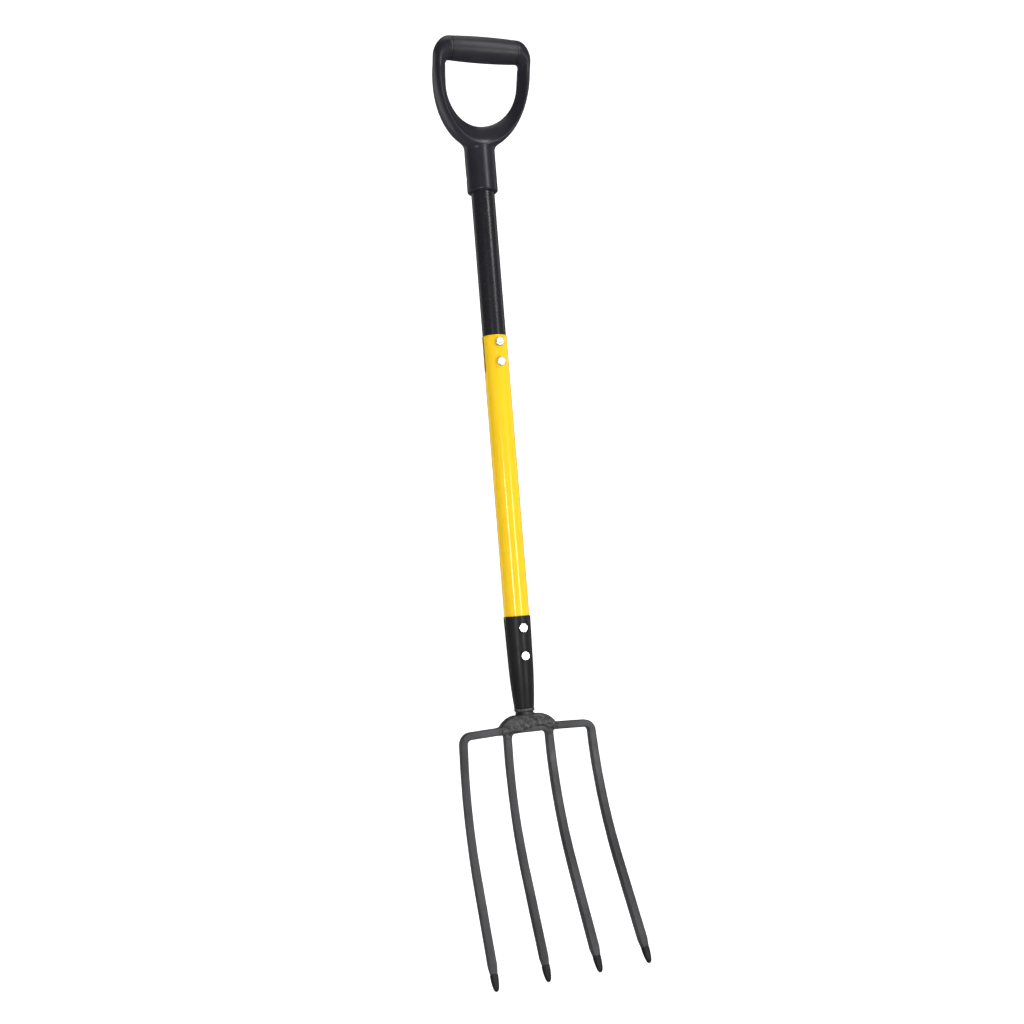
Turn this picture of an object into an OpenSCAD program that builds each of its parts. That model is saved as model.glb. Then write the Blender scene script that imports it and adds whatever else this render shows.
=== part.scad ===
// Four-tine digging fork: moulded D-handle, two-piece steel shaft, welded head.
// Millimetres. Z runs up the shaft axis and Z = 0 is the rim of the head socket.
// The tines curve forward, to -Y, and X is across the head.

/* [Shaft] */
// Outer diameter of the upper tube, which slides into the lower one
upper_tube_d = 27.8; // [26:0.1:27.8]
// Outer diameter of the lower tube
lower_tube_d = 30; // [30:0.1:31]
// Wall of the lower tube
lower_wall = 1.0; // [0.8:0.05:1.0]
// Wall of the upper tube
upper_wall = 1.2; // [1:0.1:2]
// Length of lower tube that shows between the socket and its top
lower_show = 337; // [300:1:400]
// Length of upper tube that shows between the lower tube and the handle
upper_show = 177; // [150:1:220]
// Length of upper tube held inside the lower one
upper_overlap = 60; // [50:1:80]
// Length of lower tube inside the head socket
lower_insert = 62; // [58:1:66]
// Radius of the swaged lower end of the lower tube
swaged_r = 13.7; // [13.5:0.1:13.8]
// Length of the clamping slit in the lower tube
slit_len = 44; // [38:1:60]
// Width of the clamping slit
slit_w = 5; // [2:0.5:6]

/* [Bolts] */
// Nominal thread diameter of the four bolts
bolt_d = 6; // [5:0.5:6]
// Width across the flats of heads and nuts
hex_flats = 10; // [8:0.5:11]
// Height of a bolt head
bolt_head_h = 4; // [3:0.5:5]
// Height of a nut
nut_h = 5; // [4:0.5:6]
// Length of a bolt under its head
bolt_len = 40; // [38:1:45]
// Heights of the two upper bolts below the top of the lower tube
upper_bolts = [9.5, 33.2];
// Depths of the two lower bolts below the rim of the socket
lower_bolts = [14.2, 47.1];

/* [Head] */
// Radius of the head socket at its rim
socket_r = 16.1; // [16.1:0.1:16.6]
// Length of the head socket
socket_len = 109; // [108:0.5:110]
// Wall of the head socket
socket_wall = 1; // [0.8:0.1:1]
// Length of the seam slit in the head socket
seam_len = 54; // [40:1:58]
// Depth of the bars' centre line below the rim of the socket
bar_depth = 132.2; // [132:0.1:133]
// Distance of the bars' plane in front of the shaft axis
bar_forward = 6.5; // [5:0.5:7]
// Side of the square bar that the tines are bent from
bar = 8.8; // [8.4:0.1:9]
// Bevel on the bar's long edges
bar_bevel = 1; // [0.6:0.1:1.4]
// Distance of an inner tine from the middle, just below its bend
inner_x = 26.3; // [25:0.1:27]
// Distance of an outer tine from the middle, just below its shoulder
outer_x = 81.1; // [75:0.5:95]
// Droop of each crossbar below level, in degrees
droop = 2.2; // [0:0.1:3]
// Centre-line radius of the bends
bend_r = 9.6; // [9:0.1:12]

/* [Tines] */
// Depth of the tips below the rim of the socket
tip_depth = 401.5; // [380:0.5:420]
// Outward splay of the inner tines, in degrees
inner_splay = 1.1; // [0:0.1:2]
// Outward splay of the outer tines, in degrees
outer_splay = 2.5; // [0:0.1:4]
// Forward lean of a tine at its tip, in degrees
lean = 25; // [18:0.5:27]
// Radius of the forward curve
curve_r = 360; // [300:5:380]
// Length of the ground point, from full section to the bare end
point_len = 21; // [20:1:30]
// Side of the bare end
point_side = 4.3; // [4:0.1:4.8]
// Length of a tip cap
cap_len = 18; // [16:1:22]
// How far a cap reaches past the bare end of its tine
cap_past = 6.5; // [6:0.5:8]
// Width of a tip cap at its rim
cap_w = 7.9; // [7.8:0.1:9]

/* [Handle] */
// Forward cant of the D, in degrees
cant = 20; // [14:1:22]
// Height of the D's datum above the rim of its socket
datum_rise = 62.6; // [60:0.1:66]
// Outer radius of the D's socket
hub_r = 18.2; // [17.5:0.1:18.6]
// Depth of the bore that takes the upper tube
hub_bore = 55; // [45:1:56]
// Half the width of the D
d_half = 61; // [59:0.5:66]
// Half the width of the D's opening
d_open = 45.5; // [43:0.5:46]
// Radius of the grip sleeve at its middle
grip_r = 15; // [14.6:0.1:16]
// Radius of the grip sleeve at its ends
grip_end_r = 14.4; // [13:0.1:14.5]
// Half the length of the grip sleeve
grip_half = 44; // [42:1:44]
// Radius of the crossbar inside the grip sleeve
core_r = 8; // [6:0.5:10]
// Turn of the retaining screw behind the left side, in degrees
screw_turn = 18; // [0:1:30]
// Height of the retaining screw above the rim of the D's socket
screw_rise = 20; // [16:1:30]

/* [Hidden] */

// clearance between parts that slide together
fit_gap = 0.1;
// overshoot of a cut past the surface it opens
cut = 1;
round_fn = 64;

lower_r = lower_tube_d / 2;
upper_r = upper_tube_d / 2;
lower_top = lower_show;
hub_z = lower_show + upper_show;
datum_z = hub_z + datum_rise;
upper_end = hub_z + hub_bore;
bolt_r = bolt_d / 2;
bolt_hole_r = bolt_r + 0.2;
hex_r = hex_flats / sqrt(3);
bar_z = -bar_depth;
steel_black = [0.13, 0.13, 0.14];
forged_grey = [0.27, 0.27, 0.28];
zinc = [0.82, 0.83, 0.85];
plastic_black = [0.10, 0.10, 0.11];
shaft_yellow = [0.96, 0.76, 0.05];

// ---------- shared shapes ----------

// A round cut across the shaft, front to back
module cross_hole(z, r) {
    translate([0, 0, z]) rotate([90, 0, 0])
        cylinder(r = r, h = 60, center = true, $fn = round_fn);
}

// A hexagonal prism up +Z whose far corners are chamfered
module hex_prism(h) {
    chamfer = 0.9;
    intersection() {
        cylinder(r = hex_r, h = h, $fn = 6);
        rotate_extrude($fn = round_fn) polygon([
            [0, -cut], [hex_r + cut, -cut], [hex_r + cut, h - 1.2],
            [hex_r - chamfer, h], [0, h]
        ]);
    }
}

// A hexagon-head bolt whose head seats at y = -seat and whose shank runs to +Y
module hex_bolt(z, seat, spin) {
    translate([0, -seat, z]) rotate([90, spin, 0]) {
        hex_prism(bolt_head_h);
        translate([0, 0, -bolt_len]) cylinder(r = bolt_r, h = bolt_len, $fn = round_fn);
    }
}

// A nut that seats at y = seat, open for its bolt
module hex_nut(z, seat, spin) {
    translate([0, seat, z]) rotate([-90, spin, 0]) difference() {
        hex_prism(nut_h);
        translate([0, 0, -cut])
            cylinder(r = bolt_r + 0.05, h = nut_h + 2 * cut, $fn = round_fn);
    }
}

// ---------- shaft ----------

module upper_tube() {
    color(steel_black) difference() {
        translate([0, 0, lower_top - upper_overlap])
            cylinder(r = upper_r, h = upper_end - lower_top + upper_overlap, $fn = round_fn);
        translate([0, 0, lower_top - upper_overlap - cut])
            cylinder(r = upper_r - upper_wall, h = upper_end, $fn = round_fn);
        for (drop = upper_bolts) cross_hole(lower_top - drop, bolt_hole_r);
        screw_place() cylinder(r = 2.1, h = 12, center = true, $fn = round_fn);
    }
}

module lower_tube() {
    bore_r = lower_r - lower_wall;
    slit_foot = lower_top - slit_len + slit_w / 2;
    color(shaft_yellow) difference() {
        rotate_extrude($fn = round_fn) polygon([
            [swaged_r, -lower_insert], [lower_r - 0.4, 0], [lower_r, 3], [lower_r, lower_top],
            [bore_r, lower_top], [bore_r, 3], [lower_r - 0.4 - lower_wall, 0],
            [swaged_r - lower_wall, -lower_insert]
        ]);
        translate([-lower_r - cut, -slit_w / 2, slit_foot]) cube([lower_r, slit_w, slit_len]);
        translate([-lower_r - cut, 0, slit_foot]) rotate([0, 90, 0])
            cylinder(r = slit_w / 2, h = lower_r, $fn = round_fn);
        for (drop = upper_bolts) cross_hole(lower_top - drop, bolt_hole_r);
        for (depth = lower_bolts) cross_hole(-depth, bolt_hole_r);
    }
}

module upper_joint_bolts() {
    color(zinc) for (i = [0, 1])
        hex_bolt(lower_top - upper_bolts[i], lower_r, 15 + 30 * i);
}

module upper_joint_nuts() {
    color(zinc) for (i = [0, 1])
        hex_nut(lower_top - upper_bolts[i], lower_r, 10 + 25 * i);
}

// ---------- head socket ----------

// Outer radius of the socket at a depth below its rim: a slight taper,
// then a fall-off that grows with the square of the depth
taper_start = 55;
function socket_radius(depth) =
    socket_r - 0.02 * depth - 0.00076 * pow(max(0, depth - taper_start), 2);
socket_depths = [0, 30, for (d = [55 : 6 : socket_len - 5]) d, socket_len];
socket_foot_r = socket_radius(socket_len);

module head_socket() {
    color(steel_black) difference() {
        rotate_extrude($fn = round_fn) polygon(concat(
            [for (d = socket_depths) [socket_radius(d), -d]],
            [for (i = [len(socket_depths) - 1 : -1 : 0])
                [socket_radius(socket_depths[i]) - socket_wall, -socket_depths[i]]]
        ));
        // the seam of the rolled sheet gapes at the rim and closes below
        rotate([90, 0, -90]) linear_extrude(socket_r + cut) polygon([
            [-2.5, cut], [2.5, cut], [0.5, -seam_len], [-0.5, -seam_len]
        ]);
        for (depth = lower_bolts) cross_hole(-depth, bolt_hole_r);
    }
}

module lower_joint_bolts() {
    color(zinc) for (i = [0, 1])
        hex_bolt(-lower_bolts[i], socket_radius(lower_bolts[i]), 20 + 15 * i);
}

module lower_joint_nuts() {
    color(zinc) for (i = [0, 1])
        hex_nut(-lower_bolts[i], socket_radius(lower_bolts[i]), 5 + 30 * i);
}

// ---------- head block and welds ----------

stub_r = socket_foot_r - socket_wall - fit_gap;
weld_h = 2.6;
neck_top = -socket_len - weld_h;
neck_r = socket_foot_r + 0.4;
block_half = 6;
block_y = -bar_forward + 0.6;
channel = bar + 2 * fit_gap;

module socket_weld() {
    color(forged_grey) rotate_extrude($fn = round_fn) polygon([
        [stub_r + 0.05, neck_top], [socket_foot_r + 0.6, neck_top],
        [socket_foot_r + 1.2, neck_top + 0.8], [socket_foot_r + 1, neck_top + 1.8],
        [socket_foot_r, neck_top + weld_h], [stub_r + 0.05, neck_top + weld_h]
    ]);
}

// The arched forging that carries the bars: cheeks over the joints of the outer bars,
// the inner bar bare below its middle, and a stub up into the socket
module head_block() {
    color(forged_grey) difference() {
        union() {
            hull() for (side = [-1, 1]) {
                translate([side * 29, block_y, -128.8]) sphere(r = block_half, $fn = 32);
                translate([side * 23.5, block_y, -124.6]) sphere(r = block_half, $fn = 32);
                translate([side * 10, block_y, -122]) sphere(r = block_half, $fn = 32);
            }
            hull() {
                translate([0, 0, neck_top - 1]) cylinder(r = neck_r, h = 1, $fn = 32);
                translate([0, block_y, -123])
                    cube([30, 2 * block_half - 1, 4], center = true);
            }
            translate([0, 0, neck_top - 4]) cylinder(r = stub_r, h = 24, $fn = round_fn);
        }
        // the bars lie in a channel open below
        translate([-60, -bar_forward - channel / 2, -160])
            cube([120, channel, 160 + bar_z + channel / 2]);
        translate([-60, -40, -160]) cube([120, 80, 160 - 134.5]);
        // the inner bar is bare in front between the cheeks
        translate([-inner_x - 1, -40, -160])
            cube([2 * inner_x + 2, 40 - bar_forward, 160 + bar_z + channel / 2]);
    }
}

// Concave weld in the corner between a crossbar and the inner tine beside it
module corner_weld() {
    leg = 5;
    throat_r = 5.2;
    corner_x = inner_x + bar / 2 + 0.3;
    corner_z = bar_z - bar / 2 - 0.3;
    translate([corner_x, -bar_forward, corner_z]) rotate([90, 0, 0])
        linear_extrude(bar - 1, center = true) difference() {
            translate([0, -leg]) square(leg);
            translate([throat_r, -throat_r]) circle(r = throat_r - 0.15, $fn = round_fn);
        }
}

module tine_welds() {
    color(forged_grey) {
        corner_weld();
        mirror([1, 0, 0]) corner_weld();
    }
}

// ---------- tines ----------

// A closed skin over rings of points, each with the same number of points, in order
module skin(rings) {
    n = len(rings[0]);
    last = (len(rings) - 1) * n;
    polyhedron(
        points = [for (ring = rings) each ring],
        faces = concat(
            [[for (j = [0 : n - 1]) j]],
            [[for (j = [n - 1 : -1 : 0]) last + j]],
            [for (i = [0 : len(rings) - 2], j = [0 : n - 1]) let (k = (j + 1) % n)
                each [[i * n + j, (i + 1) * n + k, i * n + k],
                      [i * n + j, (i + 1) * n + j, (i + 1) * n + k]]]
        )
    );
}

// A ring of the bar's section about a point: a square with bevelled edges.
// across and back are the section's axes.
function bar_ring(at, across, back, half) =
    let (flat = half * (1 - bar_bevel / (bar / 2)))
    [for (q = [[half, -flat], [half, flat], [flat, half], [-flat, half],
               [-half, flat], [-half, -flat], [-flat, -half], [flat, -half]])
        at + across * q.x - back * q.y];

// Directions at an angle below the horizontal, in the plane of the bars
function ahead(angle) = [cos(angle), 0, -sin(angle)];
function outward(angle) = [sin(angle), 0, cos(angle)];
forward = [0, -1, 0];

// A bar as [start x, x just below the bend, droop, splay]
outer_bar = [inner_x + bar / 2 + 0.5, outer_x, droop, outer_splay];
inner_bar = [0, inner_x, 0, inner_splay];

// Where the bend starts, where it ends, and where the forward curve ends
function bend_start(b) =
    [b[0], -bar_forward, bar_z] + ahead(b[2])
        * (b[1] - b[0] - bend_r * (cos(b[3]) - sin(b[2]))) / cos(b[2]);
function bend_end(b) = bend_start(b) + bend_r * (outward(90 - b[3]) - outward(b[2]));
function curve_at(b, turn) =
    bend_end(b) + curve_r * (ahead(90 - b[3]) * sin(turn) + forward * (1 - cos(turn)));

// Directions of the straight end of a tine
function tine_along(b, turn) = ahead(90 - b[3]) * cos(turn) + forward * sin(turn);
function tine_back(b, turn) = ahead(90 - b[3]) * sin(turn) - forward * cos(turn);
function bare_end(b) =
    let (foot = curve_at(b, lean), dir = tine_along(b, lean),
         drop = foot.z + tip_depth - cap_past * cos(lean))
    foot - dir * drop / dir.z;

bend_steps = 8;
curve_steps = 14;

// Rings of an outer bar's end: eased where the block's cheek covers it, full past that
eased = 0.1;
tread_x = 35.8;
function covered_rings(b) = [
    for (q = [[b[0], eased], [tread_x - 0.4, eased], [tread_x, 0]])
        bar_ring([b[0], -bar_forward, bar_z] + ahead(b[2]) * (q.x - b[0]) / cos(b[2]),
            outward(b[2]), -forward, bar / 2 - q.y)
];

// Rings round a bar's bend and down its tine
function tine_rings(b) = concat(
    [for (i = [0 : bend_steps])
        let (turn = b[2] + (90 - b[3] - b[2]) * i / bend_steps)
        bar_ring(bend_start(b) + bend_r * (outward(turn) - outward(b[2])),
            outward(turn), -forward, bar / 2)],
    [for (i = [1 : curve_steps]) let (turn = lean * i / curve_steps)
        bar_ring(curve_at(b, turn), outward(90 - b[3]), tine_back(b, turn), bar / 2)],
    [bar_ring(bare_end(b) - tine_along(b, lean) * point_len,
        outward(90 - b[3]), tine_back(b, lean), bar / 2)],
    [bar_ring(bare_end(b), outward(90 - b[3]), tine_back(b, lean), point_side / 2)]
);

module outer_right_tine() {
    color(forged_grey) skin(concat(covered_rings(outer_bar), tine_rings(outer_bar)));
}

module outer_left_tine() {
    color(forged_grey) mirror([1, 0, 0])
        skin(concat(covered_rings(outer_bar), tine_rings(outer_bar)));
}

// The inner tines are one bar: the rings of its right half, and the same mirrored
module inner_tine_bar() {
    half = tine_rings(inner_bar);
    color(forged_grey) skin(concat(
        [for (i = [len(half) - 1 : -1 : 0]) [for (p = half[i]) [-p.x, p.y, p.z]]],
        half
    ));
}

// ---------- tip caps ----------

// Places what follows at a bare end, with +Z back up the tine
module at_bare_end(b) {
    at = bare_end(b);
    x = outward(90 - b[3]);
    y = tine_back(b, lean);
    z = -tine_along(b, lean);
    multmatrix([[x.x, y.x, z.x, at.x], [x.y, y.y, z.y, at.y], [x.z, y.z, z.z, at.z]])
        children();
}

module tip_cap() {
    nose_r = 2.6;
    rim_z = cap_len - cap_past;
    corner = 1.8;
    flat = cap_w - 2 * corner;
    slope = (bar - point_side) / 2 / point_len;
    bare = point_side / 2 + 0.05;
    difference() {
        hull() {
            for (x = [-1, 1], y = [-1, 1]) translate([x * flat / 2, y * flat / 2, rim_z - 3])
                cylinder(r = corner, h = 3, $fn = 24);
            translate([0, 0, nose_r - cap_past]) sphere(r = nose_r, $fn = 24);
        }
        skin([for (h = [cap_len, 0])
            bar_ring([0, 0, h], [1, 0, 0], [0, 1, 0], bare + slope * h)]);
    }
}

module outer_right_cap() {
    color(plastic_black) at_bare_end(outer_bar) tip_cap();
}

module inner_right_cap() {
    color(plastic_black) at_bare_end(inner_bar) tip_cap();
}

module inner_left_cap() {
    color(plastic_black) mirror([1, 0, 0]) at_bare_end(inner_bar) tip_cap();
}

module outer_left_cap() {
    color(plastic_black) mirror([1, 0, 0]) at_bare_end(outer_bar) tip_cap();
}

// ---------- D-handle ----------

// The D lies in a canted plane. In it x runs across and h up from the datum, and
// depth runs front to back. A section of its rim has three in-plane points: the outer
// edge, the ridges at front and back, and the crest that faces the hand.
ray_h = 86;
corner_h = 102;
grip_h = 107;
ridge_half = d_half - 6;
ridge_low = 1.5;
outer_low = -8.5;
crest_h = 65;
arm_depth = 12.5;
crotch_depth = 21;

// Distance from (0, ray_h) along an angle to an ellipse centred on (0, h0)
function ellipse_ray(angle, h0, a, b) =
    let (c = cos(angle) / a, s = sin(angle) / b, k = (ray_h - h0) / b,
         p = c * c + s * s, q = s * k)
    (-q + sqrt(q * q - p * (k * k - 1))) / p;
function along(angle, distance) =
    [distance * cos(angle), ray_h + distance * sin(angle)];
function wall_ray(angle) = d_open / max(0.001, abs(cos(angle)));
function crest_ray(angle) =
    ray_h + wall_ray(angle) * sin(angle) > crest_h
        ? wall_ray(angle) : ellipse_ray(angle, crest_h, d_open, d_open);

// Sections as [outer, ridge, crest, depth, roundness of the inner side]
function rim_section(angle) = [
    along(angle, ellipse_ray(angle, ray_h, d_half, ray_h - outer_low)),
    along(angle, ellipse_ray(angle, 80.5, ridge_half, 80.5 - ridge_low)),
    along(angle, crest_ray(angle)),
    arm_depth - (crotch_depth - arm_depth) * sin(angle), 0
];
function corner_section(turn) = [
    [grip_half + (d_half - grip_half) * cos(turn), corner_h + 19.5 * sin(turn)],
    [grip_half + (ridge_half - grip_half) * cos(turn), 93 + 14 * sin(turn)],
    [grip_half + (d_open + 0.5 - grip_half) * cos(turn), 88 + 4.5 * sin(turn)],
    arm_depth + 2 * (1 - cos(turn)), sin(turn)
];
function flip(section) = [
    for (i = [0 : 2]) [-section[i].x, section[i].y], section[3], section[4]
];
rim_sections = concat(
    [for (turn = [90 : -15 : 0]) flip(corner_section(turn))],
    [for (angle = [-180 : 7.5 : 0]) rim_section(angle)],
    [for (turn = [0 : 15 : 90]) corner_section(turn)]
);

// The ring of points round one section
half_steps = 8;
function section_ring(s) = concat(
    [for (i = [0 : half_steps]) let (t = -90 + 180 * i / half_steps)
        [s[1].x + (s[0].x - s[1].x) * cos(t), s[3] * sin(t),
         s[1].y + (s[0].y - s[1].y) * cos(t)]],
    [for (i = [1 : half_steps - 1]) let (
            t = 90 - 180 * i / half_steps,
            w = s[4] * cos(t) + (1 - s[4]) * (1 - abs(t) / 90),
            d = s[4] * sin(t) + (1 - s[4]) * t / 90)
        [s[1].x + (s[2].x - s[1].x) * w, s[3] * d, s[1].y + (s[2].y - s[1].y) * w]]
);

module d_rim() {
    skin([for (s = rim_sections) section_ring(s)]);
}

// Places what follows in the canted plane of the D
module in_d_plane() {
    translate([0, 0, datum_z]) rotate([cant, 0, 0]) children();
}

// Places what follows on the retaining screw's axis, +Z outward from the hub's side
module screw_place() {
    translate([0, 0, hub_z + screw_rise]) rotate([0, 0, 180 - screw_turn])
        translate([hub_r, 0, 0]) rotate([0, 90, 0]) children();
}

screw_seat = -2.6;

module handle_frame() {
    color(plastic_black) difference() {
        union() {
            in_d_plane() d_rim();
            in_d_plane() translate([0, 0, grip_h]) rotate([0, 90, 0])
                cylinder(r = core_r, h = 2 * grip_half + 2, center = true, $fn = round_fn);
            difference() {
                rotate_extrude($fn = round_fn) polygon([
                    [0, hub_z], [hub_r - 2.5, hub_z], [hub_r, hub_z + 2.5],
                    [hub_r, datum_z - 22], [hub_r + 0.8, datum_z - 12],
                    [hub_r + 2.2, datum_z - 5], [hub_r + 2.2, datum_z + 12], [0, datum_z + 12]
                ]);
                in_d_plane() translate([-50, -50, 2]) cube(100);
            }
        }
        translate([0, 0, hub_z - cut])
            cylinder(r = upper_r + fit_gap, h = hub_bore + 0.2 + cut, $fn = round_fn);
        screw_place() {
            translate([0, 0, screw_seat]) cylinder(r = 4.3, h = 10, $fn = round_fn);
            translate([0, 0, -7]) cylinder(r = 2.1, h = 10, $fn = round_fn);
        }
    }
}

module handle_screw() {
    color(zinc) screw_place() difference() {
        union() {
            translate([0, 0, screw_seat]) cylinder(r = 3.8, h = 1.4, $fn = round_fn);
            translate([0, 0, screw_seat + 1.4]) cylinder(r1 = 3.8, r2 = 3, h = 0.7, $fn = round_fn);
            translate([0, 0, -11.6]) cylinder(r = 2, h = 10, $fn = round_fn);
        }
        for (turn = [0, 90]) rotate([0, 0, turn])
            translate([0, 0, 0]) cube([3.6, 0.9, 2.6], center = true);
    }
}

module grip_sleeve() {
    half = grip_half - fit_gap;
    groove = grip_half - 3;
    color(plastic_black) in_d_plane() translate([0, 0, grip_h]) rotate([0, 90, 0])
        difference() {
            rotate_extrude($fn = round_fn) polygon([
                [core_r + fit_gap, -half], [grip_end_r, -half], [grip_end_r, -groove],
                [grip_end_r - 0.6, -groove], [grip_end_r - 0.6, 0.8 - groove],
                [grip_end_r, 0.8 - groove], [grip_end_r + 0.3, -25], [grip_r, -10],
                [grip_r, 10], [grip_end_r + 0.3, 25], [grip_end_r, groove - 0.8],
                [grip_end_r - 0.6, groove - 0.8], [grip_end_r - 0.6, groove],
                [grip_end_r, groove], [grip_end_r, half], [core_r + fit_gap, half]
            ]);
        }
}

handle_frame();
grip_sleeve();
handle_screw();
upper_tube();
lower_tube();
upper_joint_bolts();
upper_joint_nuts();
head_socket();
lower_joint_bolts();
lower_joint_nuts();
socket_weld();
head_block();
inner_tine_bar();
outer_left_tine();
outer_right_tine();
tine_welds();
outer_left_cap();
inner_left_cap();
inner_right_cap();
outer_right_cap();
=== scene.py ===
"""A four-tine digging fork with a D-handle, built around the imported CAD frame."""

import math

import bmesh
import bpy
from mathutils import Matrix, Vector, noise
from mathutils.bvhtree import BVHTree


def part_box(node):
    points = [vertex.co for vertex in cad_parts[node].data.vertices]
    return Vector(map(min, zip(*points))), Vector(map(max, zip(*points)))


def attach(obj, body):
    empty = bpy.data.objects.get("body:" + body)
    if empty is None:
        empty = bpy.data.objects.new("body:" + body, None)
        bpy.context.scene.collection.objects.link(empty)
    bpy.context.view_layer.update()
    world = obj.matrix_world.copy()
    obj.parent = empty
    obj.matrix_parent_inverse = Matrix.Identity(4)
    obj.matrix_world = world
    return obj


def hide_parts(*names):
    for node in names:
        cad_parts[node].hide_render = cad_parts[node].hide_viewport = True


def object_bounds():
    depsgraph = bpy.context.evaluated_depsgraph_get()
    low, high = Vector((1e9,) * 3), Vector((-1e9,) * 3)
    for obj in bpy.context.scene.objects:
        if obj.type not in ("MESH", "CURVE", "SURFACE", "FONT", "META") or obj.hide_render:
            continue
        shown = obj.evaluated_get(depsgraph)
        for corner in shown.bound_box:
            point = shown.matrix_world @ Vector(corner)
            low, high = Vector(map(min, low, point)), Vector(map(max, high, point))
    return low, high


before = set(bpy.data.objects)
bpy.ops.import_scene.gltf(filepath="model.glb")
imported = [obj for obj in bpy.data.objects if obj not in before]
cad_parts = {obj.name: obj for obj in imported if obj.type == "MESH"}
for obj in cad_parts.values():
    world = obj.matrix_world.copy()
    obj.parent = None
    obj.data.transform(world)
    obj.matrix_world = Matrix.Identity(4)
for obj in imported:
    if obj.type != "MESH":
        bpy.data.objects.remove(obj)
cad_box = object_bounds()
MM = 0.001


# ---------------------------------------------------------------- mesh helpers

def make_object(name, verts, faces, sharp=40):
    """A mesh object from points in millimetres, smooth but for edges past sharp degrees."""
    mesh = bpy.data.meshes.new(name)
    mesh.from_pydata([Vector(v) * MM for v in verts], [], faces)
    bm = bmesh.new()
    bm.from_mesh(mesh)
    bmesh.ops.remove_doubles(bm, verts=bm.verts, dist=2e-6)
    bmesh.ops.recalc_face_normals(bm, faces=bm.faces)
    for face in bm.faces:
        face.smooth = True
    for edge in bm.edges:
        edge.smooth = edge.calc_face_angle(0) < math.radians(sharp)
    bm.to_mesh(mesh)
    bm.free()
    obj = bpy.data.objects.new(name, mesh)
    bpy.context.scene.collection.objects.link(obj)
    return obj


def skin_faces(count, n, caps=True):
    """Quads over count rings of n points, with both ends capped if asked."""
    faces = []
    for i in range(count - 1):
        for j in range(n):
            k = (j + 1) % n
            a = i * n
            faces.append((a + j, a + k, a + n + k, a + n + j))
    if caps:
        faces.append(tuple(range(n - 1, -1, -1)))
        faces.append(tuple((count - 1) * n + j for j in range(n)))
    return faces


def skin(name, rings, sharp=40):
    """A closed skin over rings of points."""
    verts = [p for ring in rings for p in ring]
    return make_object(name, verts, skin_faces(len(rings), len(rings[0])), sharp)


def lathe(name, profile, place=Matrix.Identity(4), steps=128, sharp=30, radius_of=None):
    """Turns a closed (radius, height) profile about +Z of place."""
    rings = []
    for j in range(steps):
        a = 2 * math.pi * j / steps
        ring = []
        for r, z in profile:
            rr = radius_of(r, z, a) if radius_of else r
            ring.append(place @ Vector((rr * math.cos(a), rr * math.sin(a), z)))
        rings.append(ring)
    n = len(profile)
    verts = [p for ring in rings for p in ring]
    faces = skin_faces(steps, n, caps=False)
    last = (steps - 1) * n
    faces += [(last + j, last + (j + 1) % n, (j + 1) % n, j) for j in range(n)]
    return make_object(name, verts, faces, sharp)


def rounded(points, radius, steps=4):
    """A closed polyline with each corner turned into an arc."""
    out = []
    n = len(points)
    for i, p in enumerate(points):
        p = Vector(p)
        a = (Vector(points[i - 1]) - p).normalized()
        b = (Vector(points[(i + 1) % n]) - p).normalized()
        half = a.angle(b) / 2
        reach = radius / math.tan(half)
        centre = p + (a + b).normalized() * radius / math.sin(half)
        start = p + a * reach - centre
        end = p + b * reach - centre
        turn = start.angle(end)
        for s in range(steps + 1):
            t = s / steps
            arc = (start * math.sin((1 - t) * turn) + end * math.sin(t * turn)) / math.sin(turn)
            out.append(tuple(centre + arc))
    return out


class Shape:
    """Signed distance to a closed mesh object, in millimetres."""

    def __init__(self, obj):
        bm = bmesh.new()
        bm.from_mesh(obj.data)
        self.tree = BVHTree.FromBMesh(bm)
        bm.free()

    def __call__(self, p):
        near, normal, _, _ = self.tree.find_nearest(p * MM)
        away = p * MM - near
        dist = away.length / MM
        if dist < 1e-6:
            return 0.0, normal
        side = 1 if away.dot(normal) > 0 else -1
        return side * dist, away.normalized() * side


def smooth_min(a, ga, b, gb, k):
    """Smooth union of two distances with their gradients."""
    h = max(k - abs(a - b), 0) / k
    w = 0.5 + 0.5 * max(-1, min(1, (b - a) / k))
    return min(a, b) - h * h * k / 4, ga * w + gb * (1 - w)


def fuse(objects, reach, keep):
    """Moves the meshes' points near where they cross onto one smooth union, so that they
    meet in fillets of a size that reach gives. Points deep inside another mesh, or that
    keep picks, stay."""
    shapes = [Shape(o) for o in objects]
    for own, obj in enumerate(objects):
        others = [s for i, s in enumerate(shapes) if i != own]
        for v in obj.data.vertices:
            p = v.co / MM
            k = reach(p)
            gap = min(s(p)[0] for s in others)
            if gap > k * 1.1 or gap < -k * 0.2 or keep(p):
                continue
            for _ in range(4):
                value, grad = shapes[own](p)
                for s in others:
                    other, og = s(p)
                    value, grad = smooth_min(value, grad, other, og, k)
                if grad.length < 0.2:
                    break
                p = p - grad * value / grad.length_squared * 0.9
            v.co = p * MM
        obj.data.update()


def dress(obj, material, slot, *nodes):
    """Gives a new piece its material and its body, and hides the CAD nodes it stands for; slot is
    not used.
    """
    obj.data.materials.clear()
    obj.data.materials.append(material)
    if nodes:
        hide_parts(*nodes)
    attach(obj, "root")


# ---------------------------------------------------------------- materials

def node_material(name):
    mat = bpy.data.materials.new(name)
    mat.use_nodes = True
    nodes = mat.node_tree.nodes
    return mat, nodes, mat.node_tree.links, nodes["Principled BSDF"]


def noise_node(nodes, links, coords, scale, detail, rough):
    tex = nodes.new("ShaderNodeTexNoise")
    tex.inputs["Scale"].default_value = scale
    tex.inputs["Detail"].default_value = detail
    tex.inputs["Roughness"].default_value = rough
    links.new(coords.outputs["Object"], tex.inputs["Vector"])
    return tex.outputs["Fac"]


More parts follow.
